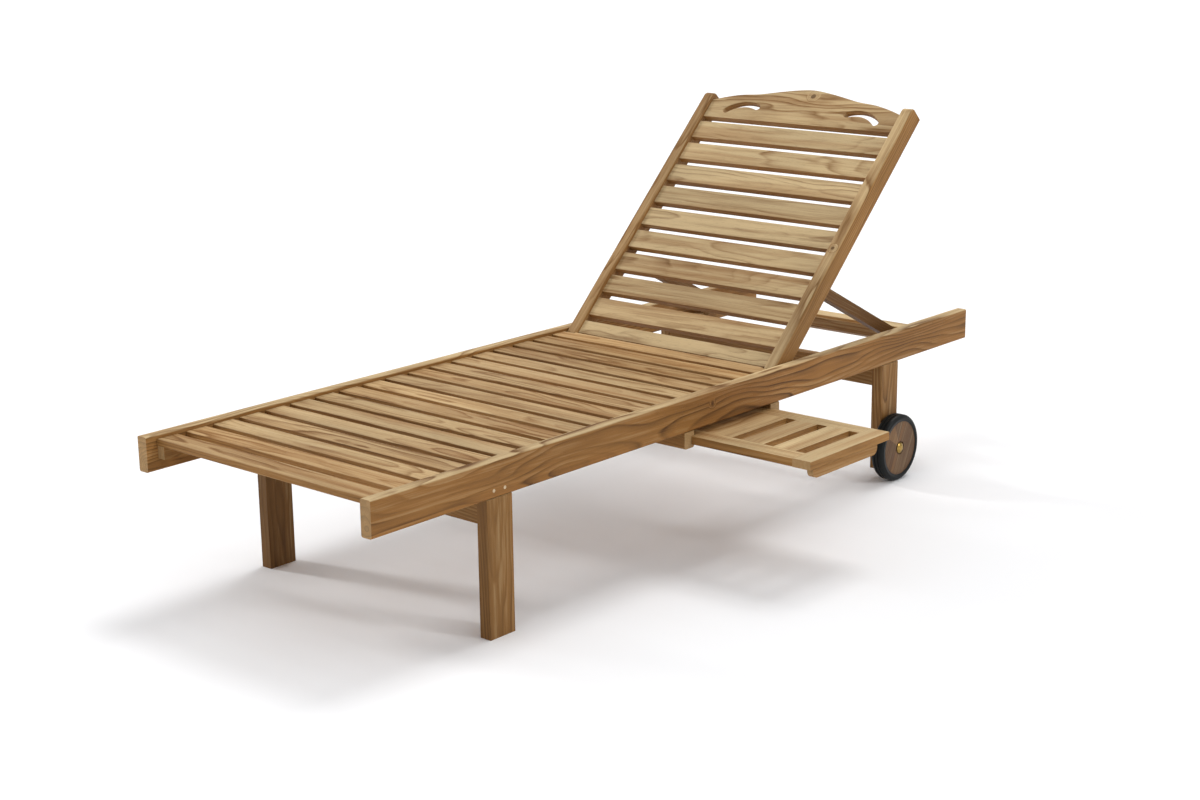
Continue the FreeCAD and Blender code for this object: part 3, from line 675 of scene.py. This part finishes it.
def studio_world(stage):
    """Even white light from all round, brighter low down so that the horizon stays white."""
    world = bpy.data.worlds.new("studio")
    world.use_nodes = True
    graph = Graph(world.node_tree)
    world.node_tree.nodes.clear()
    way = graph.node("ShaderNodeTexCoord").outputs["Generated"]
    height = graph.node("ShaderNodeSeparateXYZ", {0: way}).outputs[2]
    strength = graph.remap(height, 0.03, 0.20, 1.0, stage.sky, "SMOOTHSTEP")
    background = graph.node("ShaderNodeBackground", {"Color": rgba((1.0, 1.0, 1.0)),
                                                     "Strength": strength})
    output = graph.node("ShaderNodeOutputWorld")
    graph.feed(output.inputs["Surface"], background.outputs[0])
    return world


LAMPS = (       # name, way the light travels, strength, how wide the source looks in degrees
    ("back light", (0.06, -0.48, -0.87), 1.15, 24.0),
    ("top light", (0.0, 0.0, -1.0), 1.0, 120.0),
    ("left light", (0.86, 0.22, -0.42), 1.25, 8.0),
    ("right light", (-0.84, -0.26, -0.45), 0.7, 10.0),
)


class LOUNGER_OT_stage(Finish):
    """Lay the floor, set the lights and place the camera"""
    bl_idname = "lounger.stage"
    bl_label = "Stage"

    def execute(self, context):
        stage = context.scene.lounger_stage
        lay_floor(stage)
        context.scene.world = studio_world(stage)
        hang_lamps()
        context.scene.camera = place_camera(stage)
        context.scene.view_settings.view_transform = "Standard"
        return {"FINISHED"}


def lay_floor(stage):
    """A wide plain floor at height nought."""
    form = bmesh.new()
    bmesh.ops.create_grid(form, x_segments=1, y_segments=1, size=FLOOR_HALF)
    mesh = bpy.data.meshes.new("floor")
    form.to_mesh(mesh)
    form.free()
    floor = bpy.data.objects.new("floor", mesh)
    bpy.context.scene.collection.objects.link(floor)
    material, _, shader, _ = new_material("pale floor")
    shader.inputs["Base Color"].default_value = rgba(stage.floor)
    shader.inputs["Roughness"].default_value = 0.8
    wear(floor, material)


def hang_lamps():
    """One distant lamp for each line of LAMPS."""
    for name, way, strength, angle in LAMPS:
        lamp = bpy.data.lights.new(name, "SUN")
        lamp.energy = strength
        lamp.angle = math.radians(angle)
        holder = bpy.data.objects.new(name, lamp)
        holder.rotation_euler = Vector(way).to_track_quat("-Z", "Y").to_euler()
        bpy.context.scene.collection.objects.link(holder)


def place_camera(stage):
    """The camera, turned by its azimuth, its fall below level and its roll."""
    data = bpy.data.cameras.new("camera")
    data.lens = stage.lens
    camera = bpy.data.objects.new("camera", data)
    camera.location = CAMERA_PLACE
    turn = (Matrix.Rotation(math.radians(CAMERA_AZIMUTH), 3, "Z")
            @ Matrix.Rotation(math.radians(90.0 - CAMERA_FALL), 3, "X")
            @ Matrix.Rotation(math.radians(CAMERA_ROLL), 3, "Z"))
    camera.rotation_euler = turn.to_euler()
    bpy.context.scene.collection.objects.link(camera)
    return camera


class LOUNGER_PT_panel(bpy.types.Panel):
    """Lists the lounger's operators and settings"""
    bl_idname = "LOUNGER_PT_panel"
    bl_label = "Sun Lounger"
    bl_space_type = "VIEW_3D"
    bl_region_type = "UI"
    bl_category = "Lounger"

    def draw(self, context):
        for step in STEPS:
            self.layout.operator(step.bl_idname)
        for name in GROUPS:
            group = getattr(context.scene, name)
            box = self.layout.box()
            for key in group.__annotations__:
                box.prop(group, key)


STEPS = (LOUNGER_OT_stage, LOUNGER_OT_rails, LOUNGER_OT_seat, LOUNGER_OT_back, LOUNGER_OT_prop,
         LOUNGER_OT_tray, LOUNGER_OT_wheels)
GROUPS = {"lounger_teak": LOUNGER_PG_teak, "lounger_wheel": LOUNGER_PG_wheel,
          "lounger_stage": LOUNGER_PG_stage}


def register():
    for group in GROUPS.values():
        bpy.utils.register_class(group)
    for key, group in GROUPS.items():
        setattr(bpy.types.Scene, key, PointerProperty(type=group))
    for step in STEPS:
        bpy.utils.register_class(step)
    bpy.utils.register_class(LOUNGER_PT_panel)


def unregister():
    bpy.utils.unregister_class(LOUNGER_PT_panel)
    for step in reversed(STEPS):
        bpy.utils.unregister_class(step)
    for key, group in GROUPS.items():
        delattr(bpy.types.Scene, key)
        bpy.utils.unregister_class(group)


def main():
    """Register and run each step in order."""
    register()
    for step in STEPS:
        family, name = step.bl_idname.split(".")
        getattr(getattr(bpy.ops, family), name)()


if __name__ == "__main__":
    main()
